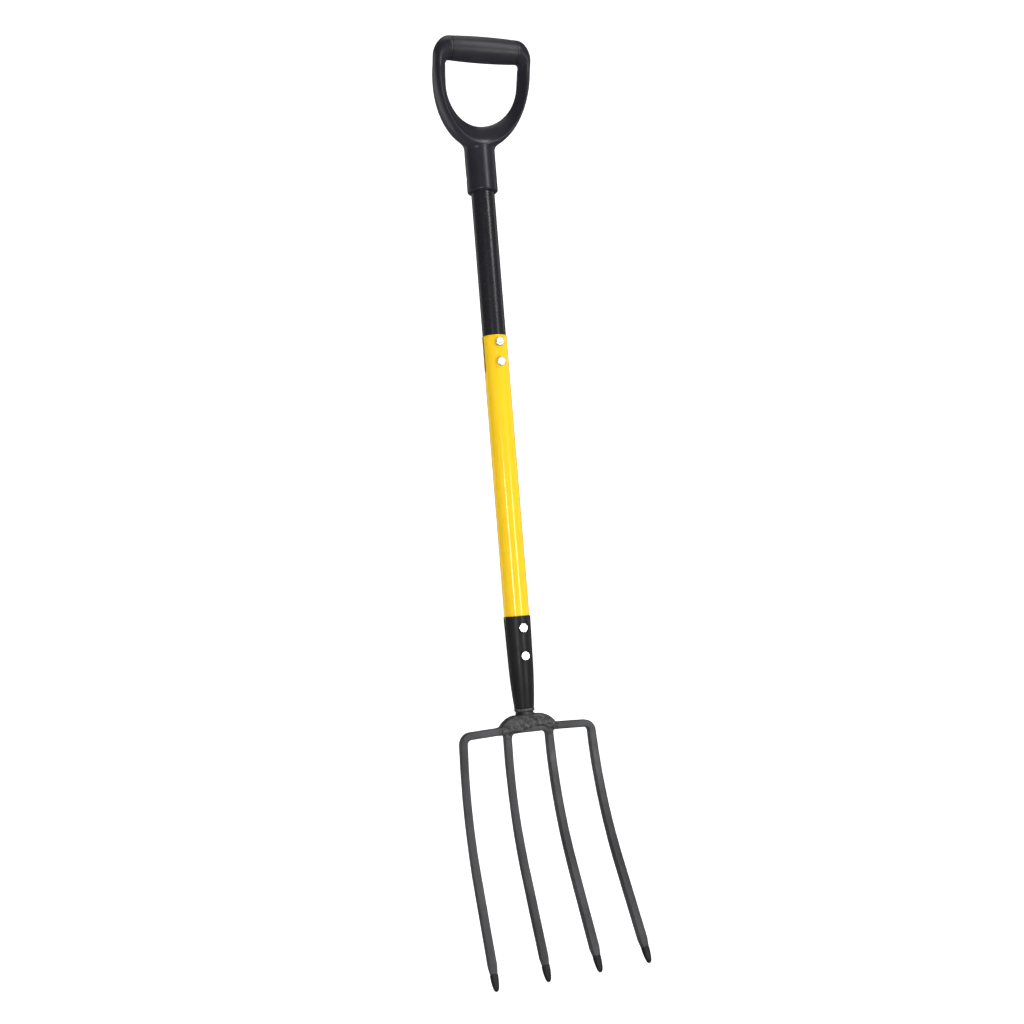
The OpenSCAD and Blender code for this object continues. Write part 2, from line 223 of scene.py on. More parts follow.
def span(nodes, links, value, low, high, out_low, out_high):
    node = nodes.new("ShaderNodeMapRange")
    node.inputs["From Min"].default_value = low
    node.inputs["From Max"].default_value = high
    node.inputs["To Min"].default_value = out_low
    node.inputs["To Max"].default_value = out_high
    links.new(value, node.inputs["Value"])
    return node.outputs["Result"]


def mix_colour(nodes, links, fac, a, b):
    node = nodes.new("ShaderNodeMix")
    node.data_type = "RGBA"
    links.new(fac, node.inputs["Factor"])
    node.inputs["A"].default_value = (*a, 1)
    node.inputs["B"].default_value = (*b, 1)
    return node.outputs["Result"]


GLOSS_SCALE = 90.0


def coat(name, dark, light, rough, bumps, metallic=0.0, specular=0.5, vary=14.0,
         patch=(0.35, 0.65)):
    """A coated or bare surface: two close tones, uneven gloss and layered bumps.
    bumps are (scale, depth in millimetres, detail), vary is the scale of the tones, and
    patch is the part of its noise over which dark turns to light."""
    mat, nodes, links, shader = node_material(name)
    coords = nodes.new("ShaderNodeTexCoord")
    tone = span(nodes, links, noise_node(nodes, links, coords, vary, 5, 0.6),
                patch[0], patch[1], 0, 1)
    links.new(mix_colour(nodes, links, tone, dark, light), shader.inputs["Base Color"])
    gloss = noise_node(nodes, links, coords, GLOSS_SCALE, 4, 0.6)
    links.new(span(nodes, links, gloss, 0.3, 0.7, rough[0], rough[1]),
              shader.inputs["Roughness"])
    shader.inputs["Metallic"].default_value = metallic
    shader.inputs["Specular IOR Level"].default_value = specular
    normal = None
    for scale, depth, detail in bumps:
        bump = nodes.new("ShaderNodeBump")
        bump.inputs["Distance"].default_value = depth * MM
        links.new(noise_node(nodes, links, coords, scale, detail, 0.55),
                  bump.inputs["Height"])
        if normal:
            links.new(normal, bump.inputs["Normal"])
        normal = bump.outputs["Normal"]
    if normal:
        links.new(normal, shader.inputs["Normal"])
    return mat


plastic = coat("moulded_plastic", (0.015, 0.0145, 0.0205), (0.020, 0.0195, 0.0275),
               (0.27, 0.36), [(2600, 0.012, 3), (260, 0.02, 2)], specular=0.45)
sleeve_plastic = coat("sleeve_plastic", (0.013, 0.0125, 0.017), (0.018, 0.0175, 0.023),
                      (0.37, 0.46), [(2200, 0.02, 3), (200, 0.02, 2)], specular=0.45)
black_coat = coat("gloss_black_coat", (0.011, 0.0108, 0.014), (0.015, 0.0146, 0.019),
                  (0.25, 0.29), [(60, 0.01, 2), (3000, 0.0005, 2)], specular=0.5)
yellow_coat = coat("gloss_yellow_coat", (0.92, 0.575, 0.014), (0.94, 0.60, 0.018),
                   (0.15, 0.19), [(40, 0.01, 2), (2400, 0.002, 2)], specular=0.5)
socket_coat = coat("satin_black_coat", (0.010, 0.010, 0.011), (0.016, 0.016, 0.017),
                   (0.34, 0.46), [(900, 0.03, 3), (120, 0.06, 3)], specular=0.24)
forged_coat = coat("forged_coat", (0.018, 0.018, 0.019), (0.074, 0.074, 0.077),
                   (0.28, 0.50), [(1300, 0.08, 4), (420, 0.35, 4), (120, 0.6, 3)],
                   specular=0.45, metallic=0.1, vary=240.0, patch=(0.38, 0.66))
bar_coat = coat("bar_coat", (0.035, 0.035, 0.0375), (0.064, 0.064, 0.068),
                (0.34, 0.46), [(2200, 0.015, 3), (260, 0.05, 4), (60, 0.16, 3)],
                specular=0.35, metallic=0.1)
weld_coat = coat("weld_coat", (0.030, 0.030, 0.030), (0.055, 0.054, 0.052),
                 (0.34, 0.50), [(1200, 0.05, 3), (400, 0.12, 3)], specular=0.35, metallic=0.1)
bare_weld = coat("ground_weld", (0.05, 0.05, 0.05), (0.12, 0.12, 0.118),
                 (0.22, 0.36), [(1200, 0.05, 3), (400, 0.10, 3)], specular=0.7, metallic=0.6)
zinc = coat("bright_zinc", (0.62, 0.63, 0.65), (0.80, 0.81, 0.83), (0.22, 0.36),
            [(1800, 0.008, 3), (500, 0.015, 2)], metallic=1.0)
rubber = coat("black_rubber", (0.006, 0.006, 0.007), (0.011, 0.011, 0.012),
              (0.46, 0.60), [(2600, 0.03, 3), (420, 0.05, 3)], specular=0.35)


# ---------------------------------------------------------------- design sizes, millimetres

BAR = 8.8                            # side of the square bar
BAR_EDGE = 1.25                      # radius along the bar's edges
BEND_R = 9.6                         # centre line of the bend at a tine's top
CURVE_R = 360.0                      # centre line of a tine's forward curve
LEAN = math.radians(25)              # forward lean where the curve ends
POINT_LEN = 20.5                     # length over which a bar narrows to its end
POINT_SIDE = 4.2                     # side of that end, inside the cap
CAP_LEN = 18.0
CAP_PAST = 6.5                       # how far a cap goes past the bar's end
CANT = math.radians(20)              # forward tilt of the D
DROOP = math.radians(2.2)            # fall of the crossbars
OUTER_SPLAY = math.radians(2.5)
INNER_SPLAY = math.radians(1.1)
FACE_TURN = 5.0                      # turn of the bars' faces below the bends, in degrees


def mm_box(node):
    low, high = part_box(node)
    return low / MM, high / MM


# levels and places that the CAD gives
socket_low, socket_high = mm_box("head_socket")
lower_low, lower_high = mm_box("lower_tube")
upper_low, upper_high = mm_box("upper_tube")
handle_low, handle_high = mm_box("handle_frame")
right_low, right_high = mm_box("outer_right_tine")
inner_low, inner_high = mm_box("inner_tine_bar")
RIM_Z = socket_high.z
SOCKET_FOOT = socket_low.z
SOCKET_R = socket_high.x
BAR_Z = inner_high.z - BAR / 2
BAR_Y = inner_high.y - BAR / 2
BAR_START = right_low.x
HUB_Z = handle_low.z
DATUM_Z = HUB_Z + 62.6
TIP_Z = cad_box[0].z / MM
INNER_X = 26.3
OUTER_X = 81.1
BLOCK_Y = BAR_Y + 0.6


# ---------------------------------------------------------------- tines

FORWARD = Vector((0, -1, 0))


def ahead(angle):
    return Vector((math.cos(angle), 0, -math.sin(angle)))


def outward(angle):
    return Vector((math.sin(angle), 0, math.cos(angle)))


def bar_ring(at, across, back, half, edge, turn=0.0):
    """Points round the bar's section: a square with arc edges."""
    corners = [(half, -half), (half, half), (-half, half), (-half, -half)]
    arcs = rounded([(a, b, 0) for a, b in corners], edge, 5)
    ring = []
    for i, p in enumerate(arcs):
        q = arcs[(i + 1) % len(arcs)]
        steps = 4 if (Vector(p) - Vector(q)).length > half else 1
        for s in range(steps):
            a = p[0] + (q[0] - p[0]) * s / steps
            b = p[1] + (q[1] - p[1]) * s / steps
            u = a * math.cos(turn) - b * math.sin(turn)
            v = a * math.sin(turn) + b * math.cos(turn)
            ring.append(at + across * u + back * v)
    return ring


def tine_line(start_x, top_x, droop, splay):
    """Stations (point, across, back, half side) from a bar's start to its bare end,
    and the directions at that end."""
    start = Vector((start_x, BAR_Y, BAR_Z))
    reach = top_x - start_x - BEND_R * (math.cos(splay) - math.sin(droop))
    level = reach / math.cos(droop)
    line = []
    for i in range(int(level / 2) + 1):
        line.append((start + ahead(droop) * min(level, 2.0 * i), outward(droop)))
    bend_from = start + ahead(droop) * level
    final = math.pi / 2 - splay
    for i in range(1, 17):
        turn = droop + (final - droop) * i / 16
        line.append((bend_from + (outward(turn) - outward(droop)) * BEND_R, outward(turn)))
    stations = [(p, n, -FORWARD, BAR / 2) for p, n in line]
    top = line[-1][0]
    across = outward(final)
    for i in range(1, 51):
        turn = LEAN * i / 50
        at = top + (ahead(final) * math.sin(turn) + FORWARD * (1 - math.cos(turn))) * CURVE_R
        back = ahead(final) * math.sin(turn) - FORWARD * math.cos(turn)
        stations.append((at, across, back, BAR / 2))
    foot = stations[-1][0]
    down = ahead(final) * math.cos(LEAN) + FORWARD * math.sin(LEAN)
    back = stations[-1][2]
    bare_z = TIP_Z + CAP_PAST * math.cos(LEAN)
    run = (bare_z - foot.z) / down.z
    straight = run - POINT_LEN
    for i in range(1, 31):
        stations.append((foot + down * straight * i / 30, across, back, BAR / 2))
    for i in range(1, 15):
        half = BAR / 2 + (POINT_SIDE - BAR) / 2 * i / 14
        stations.append((foot + down * (straight + POINT_LEN * i / 14), across, back, half))
    return stations, (foot + down * run, across, back, down)


def swell(at):
    """Bars are a little heavier low down and on the right."""
    low_down = min(1.0, max(0.0, (BAR_Z - at.z - 70) / 110))
    right = min(1.0, max(0.0, (BAR_Z - at.z) / 30)) * (0.05 if at.x > 0 else 0)
    return 0.07 * low_down * low_down * (3 - 2 * low_down) + right * (1 - 0.6 * low_down)


def forged_rings(stations, seed):
    """Rings along a bar whose size and twist wander a little, as hand-guided forging does,
    and which turn by FACE_TURN below the bend."""
    rings = []
    travelled = 0.0
    last = stations[0][0]
    for at, across, back, half in stations:
        travelled += (at - last).length
        last = at
        wander = noise.noise(Vector((travelled * 0.035, seed, 0.3)))
        twist = 1.2 * noise.noise(Vector((travelled * 0.02, seed, 7.1)))
        twist += FACE_TURN * min(1.0, max(0.0, (BAR_Z - at.z - 12) / 50))
        size = half * (1 + 0.02 * wander + swell(at))
        edge = BAR_EDGE * (half / (BAR / 2)) * (1 + 0.25 * wander)
        rings.append(bar_ring(at, across, back, size, edge, math.radians(twist)))
    return rings


def mirrored(stations):
    flip = Vector((-1, 1, 1))
    return [(p * flip, n * flip, b * flip, h) for p, n, b, h in stations]


outer_line, outer_tip = tine_line(BAR_START, OUTER_X, DROOP, OUTER_SPLAY)
inner_line, inner_tip = tine_line(0.0, INNER_X, 0.0, INNER_SPLAY)
right_tine = skin("outer_right_tine_bar", forged_rings(outer_line, 1.7))
left_tine = skin("outer_left_tine_bar", forged_rings(mirrored(outer_line), 5.2))
inner_bar = skin("inner_tine_u_bar",
                 forged_rings(mirrored(inner_line)[:0:-1] + inner_line, 9.4))


# ---------------------------------------------------------------- head block

def merge(name, objects):
    """One object from several meshes."""
    bm = bmesh.new()
    for obj in objects:
        bm.from_mesh(obj.data)
    mesh = bpy.data.meshes.new(name)
    bm.to_mesh(mesh)
    bm.free()
    merged = bpy.data.objects.new(name, mesh)
    bpy.context.scene.collection.objects.link(merged)
    for obj in objects:
        bpy.data.objects.remove(obj)
    return merged


def apply_modifiers(obj):
    graph = bpy.context.evaluated_depsgraph_get()
    graph.update()
    obj.data = bpy.data.meshes.new_from_object(obj.evaluated_get(graph))
    obj.modifiers.clear()


def cut_with(obj, tool):
    """Takes the tool's volume out of an object and removes the tool."""
    cutter = obj.modifiers.new("cut", "BOOLEAN")
    cutter.operation = "DIFFERENCE"
    cutter.object = tool
    cutter.solver = "EXACT"
    apply_modifiers(obj)
    bpy.data.objects.remove(tool)


def forge(name, objects, voxel, passes):
    """One closed skin over overlapping pieces, eased so that they meet in fillets."""
    body = merge(name, objects)
    union = body.modifiers.new("union", "REMESH")
    union.mode = "VOXEL"
    union.voxel_size = voxel * MM
    ease = body.modifiers.new("ease", "SMOOTH")
    ease.factor = 0.5
    ease.iterations = passes
    apply_modifiers(body)
    for face in body.data.polygons:
        face.use_smooth = True
    return body


def roughen(obj, amounts):
    """Moves the points along their normals by layers of (feature size, depth) noise."""
    normals = [v.normal.copy() for v in obj.data.vertices]
    for v, normal in zip(obj.data.vertices, normals):
        shift = sum(depth * noise.noise(v.co / (size * MM)) for size, depth in amounts)
        v.co += normal * shift * MM
    obj.data.update()


def along_curve(points, x):
    """Height at x of a smooth curve through (x, height) points."""
    for (x0, h0), (x1, h1) in zip(points, points[1:]):
        if x <= x1:
            t = max(0.0, (x - x0) / (x1 - x0))
            return h0 + (h1 - h0) * t * t * (3 - 2 * t)
    return points[-1][1]


# the lower edge, down from the bars' centre line: the forging covers the U bar on the left
# and stops short of its underside on the right
LOWER_EDGE = [(-36, -4.5), (-14, -4.5), (-2, -1.5), (7, 1.0), (17, 0.8), (26, -2.4),
              (32, -4.9), (36, -4.9)]


def block_top(x):
    past = max(0.0, (abs(x) - 13) / 22.5)
    return RIM_Z - 115.7 - 13 * past ** 2.5


BLOCK_HALF = 35.4


def block_ring(x, close):
    low, high = BAR_Z + along_curve(LOWER_EDGE, x), block_top(x)
    mid = (low + high) / 2
    tall = (high - low) / 2 * (0.72 + 0.28 * close)
    thick = (6.3 - 0.6 * (abs(x) / 35) ** 2) * (0.55 + 0.45 * close)
    radius = min(2.6, tall * 0.9, thick * 0.9)
    corners = [(x, BLOCK_Y + a * thick, mid + b * tall)
               for a, b in ((-1, -1), (-1, 1), (1, 1), (1, -1))]
    return [Vector(p) for p in rounded(corners, radius, 6)]


def stub(name, start, direction, across, length, grow):
    """A short length of bar, a little larger than the bar it surrounds."""
    half = BAR / 2 + grow
    return skin(name, [bar_ring(start + direction * length * i / 4, across, -FORWARD,
                                half - 0.12 * i * grow, BAR_EDGE) for i in range(5)])


block_rings = []
for i in range(121):
    x = BLOCK_HALF * (-1 + 2 * i / 120)
    end = min(1.0, (BLOCK_HALF - abs(x)) / 3.0)
    block_rings.append(block_ring(x, math.sqrt(max(0.0, 1 - (1 - end) ** 2))))
block_parts = [skin("block_arch", block_rings)]

NECK_R = 10.6
neck_rings = []
for i in range(25):
    t = i / 24
    spread = max(0.0, (t - 0.15) / 0.85) ** 1.5
    half_x = NECK_R + 11.0 * spread
    half_y = NECK_R - 4.6 * spread
    neck_rings.append([Vector((half_x * math.cos(a), BLOCK_Y * spread + half_y * math.sin(a),
                               SOCKET_FOOT - 3.4 - 9.0 * t))
                       for a in (2 * math.pi * j / 72 for j in range(72))])
block_parts.append(skin("block_neck", neck_rings))
for side in (-1, 1):
    out = Vector((side * math.cos(DROOP), 0, -math.sin(DROOP)))
    start = Vector((side * 30.0, BAR_Y, BAR_Z - (30.0 - BAR_START) * math.tan(DROOP)))
    block_parts.append(stub("crossbar_stub", start, out, Vector((-out.z, 0, out.x)), 8.5, 0.45))
    block_parts.append(stub("tine_stub", Vector((side * INNER_X, BAR_Y, BAR_Z)),
                            Vector((0, 0, -1)), Vector((1, 0, 0)), 9.5, 0.4))

head_block = forge("head_block_forging", block_parts, 0.55, 9)
roughen(head_block, [(6.0, 0.55), (2.6, 0.30), (1.3, 0.10)])
dress(head_block, forged_coat, "forged_head", "head_block")
for bar_piece, node in ((right_tine, "outer_right_tine"), (left_tine, "outer_left_tine"),
                        (inner_bar, "inner_tine_bar")):
    roughen(bar_piece, [(16.0, 0.10), (5.0, 0.03)])
    dress(bar_piece, bar_coat, "tine_bars", node)


# ---------------------------------------------------------------- welds

def corner_weld(side):
    """A rippled concave bead under a crossbar, against the inner tine beside it."""
    corner = Vector((side * (INNER_X + BAR / 2), BAR_Y, BAR_Z - BAR / 2))
    rings = []
    for i in range(33):
        t = -1 + 2 * i / 32
        leg = 5.4 * math.sqrt(max(0.04, 1 - abs(t) ** 5)) + 0.18 * math.sin(i * 1.4)
        y = BAR_Y + 4.0 * t
        ring = [Vector((corner.x - side * 1.5, y, corner.z + 1.0))]
        for j in range(9):
            a = math.pi / 2 * j / 8
            x = corner.x + side * leg * (1 - math.sin(a)) - side * 0.6
            z = corner.z - leg * (1 - math.cos(a)) + 0.3
            ring.append(Vector((x, y, z)))
        rings.append(ring)
    return skin("corner_weld", rings)


corner_welds = merge("corner_welds", [corner_weld(-1), corner_weld(1)])
dress(corner_welds, weld_coat, "welds", "tine_welds")


def socket_radius(depth):
    return SOCKET_R - 0.02 * depth - 0.00076 * max(0.0, depth - 55) ** 2


socket_length = socket_high.z - socket_low.z
foot_r = socket_radius(socket_length)
weld_profile = [(foot_r - 1.8, SOCKET_FOOT - 3.5), (foot_r - 0.7, SOCKET_FOOT - 3.5),
                (foot_r + 0.05, SOCKET_FOOT - 3.0), (foot_r + 0.35, SOCKET_FOOT - 2.0),
                (foot_r + 0.3, SOCKET_FOOT - 0.8), (foot_r + 0.05, SOCKET_FOOT + 0.1),
                (foot_r - 1.8, SOCKET_FOOT + 0.2)]


def bead_radius(r, z, a):
    return r + (0.10 * math.sin(46 * a) + 0.12 * math.sin(17 * a + 1)) * (r > foot_r)


socket_bead = lathe("socket_weld_bead", weld_profile, steps=368, radius_of=bead_radius)
dress(socket_bead, bare_weld, "welds", "socket_weld")


# ---------------------------------------------------------------- tip caps

# (depth below the rim, half width, roundness from square to circle)
CAP_PROFILE = [(0.0, 3.0, 0.2), (0.0, 3.8, 0.2), (0.2, 4.05, 0.2), (0.7, 4.15, 0.2),
               (3.0, 4.12, 0.25), (6.0, 4.0, 0.3), (9.0, 3.78, 0.45), (12.0, 3.5, 0.65),
               (14.5, 3.15, 0.85), (16.2, 2.6, 1.0), (17.2, 1.9, 1.0), (17.8, 1.0, 1.0),
               (18.0, 0.1, 1.0)]


def tip_cap(name, tip, side):
    """A moulded cap from rim to nose: squarish at the rim, round at the nose."""
    at, across, back, down = tip
    flip = Vector((side, 1, 1))
    rings = []
    for depth, half, roundness in CAP_PROFILE:
        centre = at + down * (depth - (CAP_LEN - CAP_PAST))
        ring = []
        for j in range(64):
            a = 2 * math.pi * j / 64
            c, s = math.cos(a), math.sin(a)
            power = 2 + 3.2 * (1 - roundness)
            r = half / (abs(c) ** power + abs(s) ** power) ** (1 / power)
            ring.append((centre + across * r * c + back * r * s) * flip)
        rings.append(ring)
    cap = skin(name, rings, 50)
    dress(cap, rubber, "tip_caps", name)
    cap.name = name + "_rubber"


for cap_name, tip, side in (("outer_right_cap", outer_tip, 1), ("inner_right_cap", inner_tip, 1),
                            ("inner_left_cap", inner_tip, -1), ("outer_left_cap", outer_tip, -1)):
    tip_cap(cap_name, tip, side)


# ---------------------------------------------------------------- tubes and socket

def split_tube(name, outer, wall, gap, rim=0.35):
    """A tube with a slit on its left. outer is a list of (height, radius) going up,
    and gap(height) is half the slit's width there."""
    columns = 160
    rows = []
    first, last = outer[0], outer[-1]
    rows.append((first[0], first[1] - rim))
    rows.append((first[0] + rim * 0.3, first[1] - rim * 0.3))
    rows.append((first[0] + rim, first[1]))
    rows += outer[1:-1]
    rows.append((last[0] - rim, last[1]))
    rows.append((last[0] - rim * 0.3, last[1] - rim * 0.3))
    rows.append((last[0], last[1] - rim))
    ends = (0, len(rows) - 1)
    inside = [(z, r - wall + rim * (i in ends)) for i, (z, r) in enumerate(rows)]
    loop = rows + inside[::-1]
    verts = []
    for z, r in loop:
        open_half = math.asin(min(0.9, max(0.0, gap(z)) / r))
        for j in range(columns + 1):
            a = math.pi + open_half + (2 * math.pi - 2 * open_half) * j / columns
            verts.append((r * math.cos(a), r * math.sin(a), z))
    n = columns + 1
    faces = []
    for i in range(len(loop)):
        k = (i + 1) % len(loop)
        for j in range(columns):
            faces.append((i * n + j, i * n + j + 1, k * n + j + 1, k * n + j))
    half = len(loop) // 2
    for i in range(half - 1):
        o = len(loop) - 1 - i
        if gap(loop[i][0]) > 0.02 or gap(loop[i + 1][0]) > 0.02:
            faces.append((i * n, (i + 1) * n, (o - 1) * n, o * n))
            end = n - 1
            faces.append((o * n + end, (o - 1) * n + end, (i + 1) * n + end, i * n + end))
    return make_object(name, verts, faces, 35)


LOWER_R = (lower_high.x - lower_low.x) / 2 + 0.1
SLIT_HALF = 2.5
SLIT_FOOT = lower_high.z - 44 + SLIT_HALF


def lower_gap(z):
    below = SLIT_FOOT - z
    return SLIT_HALF if below <= 0 else math.sqrt(max(0.0, SLIT_HALF ** 2 - below ** 2))


lower_rows = [(lower_low.z, 13.7), (RIM_Z - 2, LOWER_R - 0.5), (RIM_Z + 1, LOWER_R - 0.1),
              (RIM_Z + 3, LOWER_R)]
lower_rows += [(RIM_Z + 3 + (SLIT_FOOT - 8 - RIM_Z) * i / 20, LOWER_R) for i in range(1, 21)]
lower_rows += [(SLIT_FOOT - SLIT_HALF * math.cos(math.pi / 2 * i / 10) - 0.001, LOWER_R)
               for i in range(10)]
lower_rows += [(SLIT_FOOT + (lower_high.z - SLIT_FOOT) * i / 8, LOWER_R) for i in range(9)]
lower_tube = split_tube("lower_shaft_tube", lower_rows, 0.75, lower_gap, 0.55)
dress(lower_tube, yellow_coat, "lower_tube", "lower_tube")


def seam_gap(z):
    depth = RIM_Z - z
    return max(0.0, 2.5 - 2.1 * depth / 54) if depth < 54 else 0.25 * max(0.0, 1 - (depth - 54) / 50)


socket_rows = [(socket_low.z + socket_length * i / 60,
                socket_radius(socket_length * (1 - i / 60))) for i in range(61)]
head_socket = split_tube("rolled_head_socket", socket_rows, 1.0, seam_gap)
dress(head_socket, socket_coat, "head_socket", "head_socket")

UPPER_R = upper_high.x + 0.4
upper_rows = [(upper_low.z + (upper_high.z - upper_low.z) * i / 12, UPPER_R) for i in range(13)]
upper_tube = split_tube("upper_shaft_tube", upper_rows, 1.2, lambda z: 0.0)
dress(upper_tube, black_coat, "upper_tube", "upper_tube")


# ---------------------------------------------------------------- bolts and nuts

HEX_APOTHEM = 5.0
HEAD_H = 4.0
NUT_H = 5.0
BOLT_LEN = 40.0


def hex_side(a):
    return HEX_APOTHEM / math.cos((a + math.pi / 6) % (math.pi / 3) - math.pi / 6)


def hex_body(name, height, hole, place):
    """A hexagonal head or nut up +Z of place, chamfered by a cone at its far side."""
    columns = 120
    corner = HEX_APOTHEM / math.cos(math.pi / 6)
    rings = [[], [], [], [], []]
    for j in range(columns):
        a = 2 * math.pi * j / columns
        side = hex_side(a)
        c, s = math.cos(a), math.sin(a)
        cone_z = height - max(0.0, side - (corner - 1.0)) * 0.55
        top_r = min(side, corner - 1.0)
        for ring, (r, z) in zip(rings, ((hole, 0), (side, 0), (side, cone_z),
                                        (top_r, height), (hole, height))):
            ring.append(place @ Vector((r * c, r * s, z)))
    if hole:
        rings.append(rings[0])
    verts = [p for ring in rings for p in ring]
    faces = skin_faces(len(rings), columns, caps=False)
    obj = make_object(name, verts, faces, 28)
    bevel = obj.modifiers.new("soft_edges", "BEVEL")
    bevel.width = 0.22 * MM
    bevel.segments = 2
    bevel.limit_method = "ANGLE"
    bevel.angle_limit = math.radians(40)
    return obj


def facing(y_sign, seat, z, spin):
    """Placement on the shaft's front (-1) or back (+1) with +Z pointing away from it."""
    turn = Matrix.Rotation(-y_sign * math.pi / 2, 4, "X")
    return Matrix.Translation((0, y_sign * seat, z)) @ turn @ Matrix.Rotation(spin, 4, "Z")


def bolt(name, seat, z, spin, length):
    front = facing(-1, seat, z, spin)
    head = hex_body(name, HEAD_H, 0.0, front)
    washer = lathe(name + "_face", [(0.05, -0.05), (5.0, -0.05), (5.0, 0.35), (0.05, 0.35)], front)
    profile = [(0.01, -length), (2.5, -length), (2.95, -length + 0.6)]
    z_thread = -length + 0.9
    while z_thread < -length + 12:
        profile += [(2.98, z_thread), (2.6, z_thread + 0.5)]
        z_thread += 1.0
    profile += [(2.98, z_thread), (2.98, 0.5), (0.01, 0.5)]
    shank = lathe(name + "_shank", profile, front, steps=48)
    return [head, washer, shank]


def nut(name, seat, z, spin):
    return [hex_body(name, NUT_H, 2.95, facing(1, seat, z, spin))]


def merge_all(name, objects):
    """Merges objects with their modifiers applied."""
    for obj in objects:
        if obj.modifiers:
            apply_modifiers(obj)
    return merge(name, objects)


UPPER_BOLTS = (lower_high.z - 9.5, lower_high.z - 33.2)
LOWER_BOLTS = (RIM_Z - 14.2, RIM_Z - 47.1)
for label, heights, seats, spins in (
        ("upper_joint", UPPER_BOLTS, (LOWER_R, LOWER_R), (0.26, 0.79)),
        ("lower_joint", LOWER_BOLTS, [socket_radius(RIM_Z - z) for z in LOWER_BOLTS], (0.35, 0.6))):
    bolts, nuts = [], []
    for i in range(2):
        bolts += bolt(f"{label}_bolt_{i}", seats[i] - 0.15, heights[i], spins[i], BOLT_LEN)
        nuts += nut(f"{label}_nut_{i}", seats[i] - 0.1, heights[i], spins[i] + 0.3)
    dress(merge_all(f"{label}_hex_bolts", bolts), zinc, "zinc_fasteners", f"{label}_bolts")
    dress(merge_all(f"{label}_hex_nuts", nuts), zinc, "zinc_fasteners", f"{label}_nuts")


# ---------------------------------------------------------------- D-handle

# heights are above the datum, along the D; a ray is drawn from (0, RAY_H) at each angle
RAY_H = 86.0
GRIP_H = 107.0
GRIP_HALF = 44.0
D_HALF = (handle_high.x - handle_low.x) / 2
D_OPEN = 45.5
RIDGE_HALF = D_HALF - 6
RIDGE_LOW = 0.6
RIDGE_H = 80.5
RIDGE_SOFT = 0.6
OUTER_LOW = -8.5
CREST_H = 65.0
ARM_DEPTH = 12.5
CROTCH_DEPTH = 20.9
in_d = Matrix.Translation((0, 0, DATUM_Z)) @ Matrix.Rotation(CANT, 4, "X")


def ellipse_ray(angle, h0, a, b):
    """Distance from (0, RAY_H) along an angle to an ellipse centred on (0, h0)."""
    c, s, k = math.cos(angle) / a, math.sin(angle) / b, (RAY_H - h0) / b
    p, q = c * c + s * s, s * k
    return (-q + math.sqrt(q * q - p * (k * k - 1))) / p


def crest_ray(angle):
    wall = D_OPEN / max(0.001, abs(math.cos(angle)))
    on_wall = RAY_H + wall * math.sin(angle) > CREST_H
    distance = wall if on_wall else ellipse_ray(angle, CREST_H, D_OPEN, D_OPEN)
    left = math.sin(2 * angle) ** 2 if angle < -math.pi / 2 else 0
    return distance * (1 - 0.042 * left)


def rim_section(angle):
    """(outer, ridge, crest, depth, roundness) where a ray meets the rim."""
    def at(distance):
        return Vector((distance * math.cos(angle), RAY_H + distance * math.sin(angle)))
    return (at(ellipse_ray(angle, RAY_H, D_HALF, RAY_H - OUTER_LOW)),
            at(ellipse_ray(angle, RIDGE_H, RIDGE_HALF, RIDGE_H - RIDGE_LOW)),
            at(crest_ray(angle)),
            ARM_DEPTH - (CROTCH_DEPTH - ARM_DEPTH) * math.sin(angle), 0.0)


def corner_section(turn):
    c, s = math.cos(turn), math.sin(turn)
    pull = 1 - 0.03 * math.sin(2 * turn) ** 2
    return (Vector((43 + (D_HALF - 43) * c * pull, 99 + 22.2 * s * pull)),
            Vector((GRIP_HALF + (RIDGE_HALF - GRIP_HALF) * c, 93 + 14 * s)),
            Vector((GRIP_HALF + (D_OPEN + 0.5 - GRIP_HALF) * c, 88 + 4.5 * s)),
            ARM_DEPTH + 2 * (1 - c), s)


def flipped(section):
    flip = Vector((-1, 1))
    return (*(p * flip for p in section[:3]), *section[3:])


def section_ring(section, steps=20):
    """The section's loop: a half-ellipse outside, two flanks that meet at the crest
    inside, and softened ridges and crest. Points close to a ridge keep its flanks flat."""
    outer, ridge, crest, depth, roundness = section
    loop = []
    for i in range(steps + 1):
        t = -math.pi / 2 + math.pi * i / steps
        q = ridge + (outer - ridge) * math.cos(t)
        loop.append(Vector((q.x, depth * math.sin(t), q.y)))
    for i in range(1, steps):
        t = math.pi / 2 - math.pi * i / steps
        line = 1 - abs(t) / (math.pi / 2)
        nose = 1 - math.sqrt((1 - line) ** 2 + 0.012) + math.sqrt(0.012)
        w = roundness * math.cos(t) + (1 - roundness) * (nose * 0.97)
        d = roundness * math.sin(t) + (1 - roundness) * t / (math.pi / 2)
        q = ridge + (crest - ridge) * w
        loop.append(Vector((q.x, depth * d, q.y)))
    n = len(loop)
    ring = []
    for i, p in enumerate(loop):
        if i not in (0, steps):
            ring.append(p)
            continue
        before, after = loop[i - 1], loop[(i + 1) % n]
        a = p + (before - p).normalized() * RIDGE_SOFT
        b = p + (after - p).normalized() * RIDGE_SOFT
        hold_a = a + (before - a) * 0.3
        hold_b = b + (after - b) * 0.3
        ring += [hold_a, a, (a * 4 + p * 4 + b) / 9, (a + b + p * 2) / 4,
                 (b * 4 + p * 4 + a) / 9, b, hold_b]
    return [in_d @ p for p in ring]


sections = [flipped(corner_section(math.radians(90 - 3 * i))) for i in range(31)]
sections += [rim_section(math.radians(-180 + 1.5 * i)) for i in range(121)]
sections += [corner_section(math.radians(3 * i)) for i in range(31)]
rim = skin("d_rim", [section_ring(s) for s in sections], 80)

